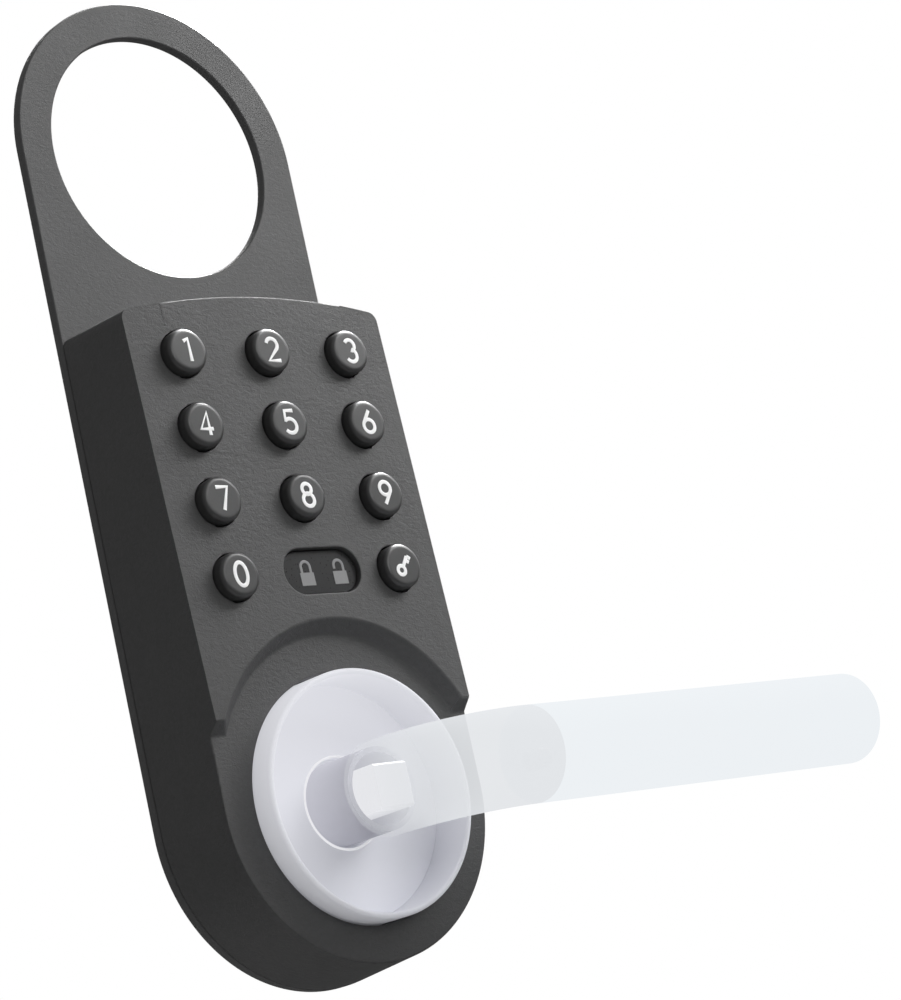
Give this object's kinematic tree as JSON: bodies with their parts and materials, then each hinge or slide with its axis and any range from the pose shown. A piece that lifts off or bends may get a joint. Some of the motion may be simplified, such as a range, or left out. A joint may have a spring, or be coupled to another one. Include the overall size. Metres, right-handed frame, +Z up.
{
  "type": "keypad lever lock",
  "caption": "Door lock's outside unit: a ring-topped back plate, a raised keypad housing with round numbered buttons and a status window, and a frosted lever on a round rosette.",
  "frame": {"origin": "on the lever's turning axis, in the plane of the back plate's rear face, where the unit meets the door", "axes": "+Z up the door, towards the ring; -Y out of the door, towards the user; +X along the lever at rest"},
  "size_m": [0.146, 0.0843, 0.2076],
  "materials": {
    "housing": "fine leather-grain texture, satin",
    "plate": "fine textured powder coat",
    "button": "satin",
    "frosted": "translucent white, frosted",
    "white": "satin white",
    "lens": "smoked, glossy",
    "clear": "clear",
    "silicone": "matte grey silicone",
    "board": "green solder mask",
    "black": "matte black",
    "steel": "plain",
    "zinc": "die-cast zinc",
    "brass": "plain",
    "rubber": "matte black"
  },
  "bodies": {
    "lock": {"back_plate": "plate", "front_housing": "housing", "indicator_lens": "lens", "light_guide_locked": "clear", "light_guide_unlocked": "clear", "led_locked": "white", "led_unlocked": "white", "keypad_mat": "silicone", "circuit_board": "board", "controller_chip": "black", "cable_socket": "white", "buzzer": "black", "mounting_post_left": "steel", "mounting_post_right": "steel", "cable_grommet": "rubber", "rosette_base": "white", "rosette": "frosted", "lever_bush": "white", "stop_pin_rest": "steel", "stop_pin_end": "steel", "return_spring": "steel", "clutch_motor": "zinc", "tail_retainer": "steel", "board_screw_upper_left": "steel", "housing_screw_upper_left": "steel", "board_screw_upper_right": "steel", "housing_screw_upper_right": "steel", "board_screw_lower_left": "steel", "housing_screw_lower_left": "steel", "board_screw_lower_right": "steel", "housing_screw_lower_right": "steel"},
    "lever": {"lever_elbow": "frosted", "lever_grip": "frosted", "grub_screw": "steel", "drive_spindle": "steel", "lever_clip": "steel", "stop_hub": "steel"},
    "clutch_ring": {"clutch_ring": "steel"},
    "clutch_fork": {"clutch_fork": "brass"},
    "lead_screw": {"lead_screw": "steel"},
    "tail": {"tail_cam": "steel", "tail_spindle": "zinc"},
    "button_1": {"button_1": "button"},
    "button_2": {"button_2": "button"},
    "button_3": {"button_3": "button"},
    "button_4": {"button_4": "button"},
    "button_5": {"button_5": "button"},
    "button_6": {"button_6": "button"},
    "button_7": {"button_7": "button"},
    "button_8": {"button_8": "button"},
    "button_9": {"button_9": "button"},
    "button_0": {"button_0": "button"},
    "button_key": {"button_key": "button"}
  },
  "joints": [
    {"name": "lever_turn", "type": "hinge", "parent": "lock", "child": "lever", "pos_m": [0, 0, 0], "axis": [0, 1, 0], "range_deg": [0, 50], "stiffness_Nm_per_rad": 0.6, "springref_deg": -20.05, "deforming": ["return_spring"]},
    {"name": "tail_turn", "type": "hinge", "parent": "lock", "child": "tail", "pos_m": [0, 0, 0], "axis": [0, 1, 0], "range_deg": [0, 50]},
    {"name": "screw_turn", "type": "hinge", "parent": "lock", "child": "lead_screw", "pos_m": [0, 0, 0.0285], "axis": [0, 1, 0], "range_deg": [0, 1296]},
    {"name": "fork_slide", "type": "slide", "parent": "lock", "child": "clutch_fork", "axis": [0, 1, 0], "range_m": [0, 0.0018]},
    {"name": "ring_slide", "type": "slide", "parent": "lever", "child": "clutch_ring", "axis": [0, 1, 0], "range_m": [0, 0.0018]},
    {"name": "button_1_press", "type": "slide", "parent": "lock", "child": "button_1", "axis": [0, 0.9993, -0.038], "range_m": [0, 0.0008], "stiffness_N_per_m": 1000, "springref_m": -0.0004},
    {"name": "button_2_press", "type": "slide", "parent": "lock", "child": "button_2", "axis": [0, 0.9993, -0.038], "range_m": [0, 0.0008], "stiffness_N_per_m": 1000, "springref_m": -0.0004},
    {"name": "button_3_press", "type": "slide", "parent": "lock", "child": "button_3", "axis": [0, 0.9993, -0.038], "range_m": [0, 0.0008], "stiffness_N_per_m": 1000, "springref_m": -0.0004},
    {"name": "button_4_press", "type": "slide", "parent": "lock", "child": "button_4", "axis": [0, 0.9993, -0.038], "range_m": [0, 0.0008], "stiffness_N_per_m": 1000, "springref_m": -0.0004},
    {"name": "button_5_press", "type": "slide", "parent": "lock", "child": "button_5", "axis": [0, 0.9993, -0.038], "range_m": [0, 0.0008], "stiffness_N_per_m": 1000, "springref_m": -0.0004},
    {"name": "button_6_press", "type": "slide", "parent": "lock", "child": "button_6", "axis": [0, 0.9993, -0.038], "range_m": [0, 0.0008], "stiffness_N_per_m": 1000, "springref_m": -0.0004},
    {"name": "button_7_press", "type": "slide", "parent": "lock", "child": "button_7", "axis": [0, 0.9993, -0.038], "range_m": [0, 0.0008], "stiffness_N_per_m": 1000, "springref_m": -0.0004},
    {"name": "button_8_press", "type": "slide", "parent": "lock", "child": "button_8", "axis": [0, 0.9993, -0.038], "range_m": [0, 0.0008], "stiffness_N_per_m": 1000, "springref_m": -0.0004},
    {"name": "button_9_press", "type": "slide", "parent": "lock", "child": "button_9", "axis": [0, 0.9993, -0.038], "range_m": [0, 0.0008], "stiffness_N_per_m": 1000, "springref_m": -0.0004},
    {"name": "button_0_press", "type": "slide", "parent": "lock", "child": "button_0", "axis": [0, 0.9993, -0.038], "range_m": [0, 0.0008], "stiffness_N_per_m": 1000, "springref_m": -0.0004},
    {"name": "button_key_press", "type": "slide", "parent": "lock", "child": "button_key", "axis": [0, 0.9993, -0.038], "range_m": [0, 0.0008], "stiffness_N_per_m": 1000, "springref_m": -0.0004}
  ],
  "couplings": [
    {"joint": "screw_turn", "follows": "fork_slide", "rad_per_m": 12566},
    {"joint": "ring_slide", "follows": "fork_slide", "ratio": 1}
  ]
}
